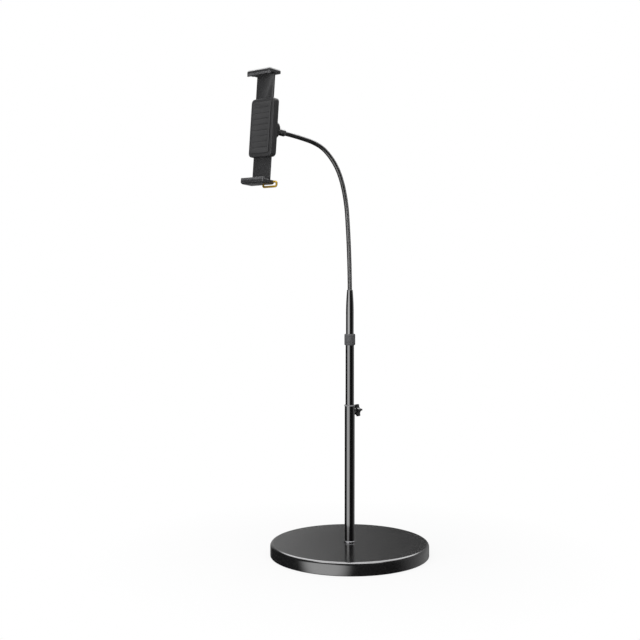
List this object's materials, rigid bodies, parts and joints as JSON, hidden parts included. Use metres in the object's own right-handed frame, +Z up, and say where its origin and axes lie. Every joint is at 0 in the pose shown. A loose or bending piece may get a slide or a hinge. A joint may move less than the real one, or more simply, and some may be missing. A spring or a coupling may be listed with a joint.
{
  "type": "tablet floor stand",
  "caption": "Floor stand with a round weighted base, telescopic pole with clamp knob, flexible neck and a two-jaw clamp holder on a ball joint.",
  "frame": {"origin": "centre of the round base on the floor, on the pole's axis", "axes": "+Z up along the pole, -Y forwards, the way the holder faces and the neck bends, +X to the right as seen from the front"},
  "size_m": [0.3, 0.4018, 0.8811],
  "materials": {
    "base_paint": "satin black powder paint",
    "tube_paint": "gloss black paint",
    "iron": "cast, unpainted",
    "zinc_steel": "zinc plated steel",
    "mat_rubber": "matt rubber mat",
    "pad_rubber": "ribbed soft rubber",
    "bush_plastic": "smooth nylon",
    "knob_plastic": "moulded black plastic",
    "nut_plastic": "fine ribbed matt plastic",
    "sleeve_plastic": "gloss black moulded plastic",
    "hose_steel": "black coated wound steel",
    "core_steel": "annealed core wire",
    "ball_steel": "turned steel, dark",
    "ferrule_metal": "gloss black paint",
    "cup_nylon": "natural nylon",
    "housing_plastic": "fine grained black plastic",
    "jaw_plastic": "fine grained dark plastic with a glossed edge",
    "loop_brass": "bent brass wire"
  },
  "bodies": {
    "base": {"base_cover": "base_paint", "base_weight": "iron", "bottom_plate": "base_paint", "plate_screws": "zinc_steel", "foot_mat": "mat_rubber", "centre_bolt": "zinc_steel", "bolt_washer": "zinc_steel", "pole_socket": "zinc_steel", "foot_trim": "tube_paint", "lower_tube": "tube_paint", "guide_bush": "bush_plastic", "knob_boss": "tube_paint"},
    "height_knob": {"knob_grip": "knob_plastic", "clamp_screw": "zinc_steel", "clamp_tip": "cup_nylon"},
    "upper_pole": {"upper_tube": "tube_paint", "tube_glide": "bush_plastic", "tube_plug": "zinc_steel"},
    "swivel_collar": {"swivel_nut": "nut_plastic"},
    "neck_link_1": {"neck_sleeve": "sleeve_plastic", "neck_hose_1": "hose_steel", "neck_core_1": "core_steel"},
    "neck_link_2": {"neck_hose_2": "hose_steel", "neck_core_2": "core_steel"},
    "neck_link_3": {"neck_hose_3": "hose_steel", "neck_core_3": "core_steel"},
    "neck_link_4": {"neck_hose_4": "hose_steel", "neck_core_4": "core_steel"},
    "neck_link_5": {"neck_hose_5": "hose_steel", "neck_core_5": "core_steel"},
    "neck_link_6": {"neck_hose_6": "hose_steel", "neck_core_6": "core_steel"},
    "neck_link_7": {"neck_hose_7": "hose_steel", "neck_core_7": "core_steel"},
    "neck_link_8": {"neck_hose_8": "hose_steel", "neck_core_8": "core_steel", "neck_ferrule": "ferrule_metal", "ball_stud": "ball_steel"},
    "socket_cup": {"ball_cup": "cup_nylon"},
    "socket_ring": {"grip_ring": "cup_nylon"},
    "holder": {"rear_housing": "housing_plastic", "front_lid": "housing_plastic", "back_pad": "pad_rubber", "housing_screws": "zinc_steel", "pinion_pin": "zinc_steel", "friction_washer": "zinc_steel"},
    "socket_nut": {"lock_nut": "knob_plastic"},
    "centring_pinion": {"pinion": "cup_nylon"},
    "top_jaw": {"upper_jaw": "jaw_plastic", "upper_jaw_pad": "pad_rubber"},
    "bottom_jaw": {"lower_jaw": "jaw_plastic", "lower_jaw_pad": "pad_rubber", "wire_loop": "loop_brass"}
  },
  "joints": [
    {"name": "pole_height", "type": "slide", "parent": "base", "child": "upper_pole", "axis": [0, 0, 1], "range_m": [-0.1123, 0.08]},
    {"name": "height_knob_turn", "type": "hinge", "parent": "base", "child": "height_knob", "pos_m": [0, 0.0149, 0.2734], "axis": [0, 1, 0], "range_deg": [0, 720]},
    {"name": "collar_turn", "type": "hinge", "parent": "upper_pole", "child": "swivel_collar", "pos_m": [0, 0, 0.3982], "axis": [0, 0, 1], "range_deg": [0, 720]},
    {"name": "neck_swivel", "type": "hinge", "parent": "upper_pole", "child": "neck_link_1", "pos_m": [0, 0, 0.4114], "axis": [0, 0, 1], "continuous": true},
    {"name": "neck_bend_1", "type": "hinge", "parent": "neck_link_1", "child": "neck_link_2", "pos_m": [0, -0.00788, 0.6404], "axis": [1, 0, 0], "range_deg": [-11.5, 8]},
    {"name": "neck_bend_2", "type": "hinge", "parent": "neck_link_2", "child": "neck_link_3", "pos_m": [0, -0.01846, 0.69021], "axis": [1, 0, 0], "range_deg": [-11.5, 8]},
    {"name": "neck_bend_3", "type": "hinge", "parent": "neck_link_3", "child": "neck_link_4", "pos_m": [0, -0.02972, 0.71579], "axis": [1, 0, 0], "range_deg": [-11.5, 8]},
    {"name": "neck_bend_4", "type": "hinge", "parent": "neck_link_4", "child": "neck_link_5", "pos_m": [0, -0.04584, 0.73737], "axis": [1, 0, 0], "range_deg": [-11.5, 8]},
    {"name": "neck_bend_5", "type": "hinge", "parent": "neck_link_5", "child": "neck_link_6", "pos_m": [0, -0.06662, 0.7545], "axis": [1, 0, 0], "range_deg": [-11.5, 8]},
    {"name": "neck_bend_6", "type": "hinge", "parent": "neck_link_6", "child": "neck_link_7", "pos_m": [0, -0.08642, 0.76395], "axis": [1, 0, 0], "range_deg": [-11.5, 8]},
    {"name": "neck_bend_7", "type": "hinge", "parent": "neck_link_7", "child": "neck_link_8", "pos_m": [0, -0.11461, 0.77059], "axis": [1, 0, 0], "range_deg": [-11.5, 8]},
    {"name": "ball_tilt", "type": "hinge", "parent": "neck_link_8", "child": "socket_cup", "pos_m": [0, -0.20707, 0.78054], "axis": [1, 0, 0], "range_deg": [-20, 20]},
    {"name": "ball_pan", "type": "hinge", "parent": "socket_cup", "child": "socket_ring", "pos_m": [0, -0.20707, 0.78054], "axis": [0, 0.0872, 0.9962], "range_deg": [-20, 20]},
    {"name": "holder_spin", "type": "hinge", "parent": "socket_ring", "child": "holder", "pos_m": [0, -0.20707, 0.78054], "axis": [0, -0.9962, 0.0872], "continuous": true},
    {"name": "socket_nut_turn", "type": "hinge", "parent": "holder", "child": "socket_nut", "pos_m": [0, -0.20707, 0.78054], "axis": [0, 0.9962, -0.0872], "range_deg": [0, 720]},
    {"name": "jaw_open", "type": "slide", "parent": "holder", "child": "top_jaw", "axis": [0, 0.0872, 0.9962], "range_m": [-0.0239, 0.02]},
    {"name": "bottom_jaw_open", "type": "slide", "parent": "holder", "child": "bottom_jaw", "axis": [0, -0.0872, -0.9962], "range_m": [-0.0239, 0.02]},
    {"name": "pinion_turn", "type": "hinge", "parent": "holder", "child": "centring_pinion", "pos_m": [0, -0.20707, 0.78054], "axis": [0, 0.9962, -0.0872], "range_deg": [-230, 192]}
  ],
  "couplings": [
    {"joint": "bottom_jaw_open", "follows": "jaw_open", "ratio": 1},
    {"joint": "pinion_turn", "follows": "jaw_open", "rad_per_m": 166.67}
  ]
}
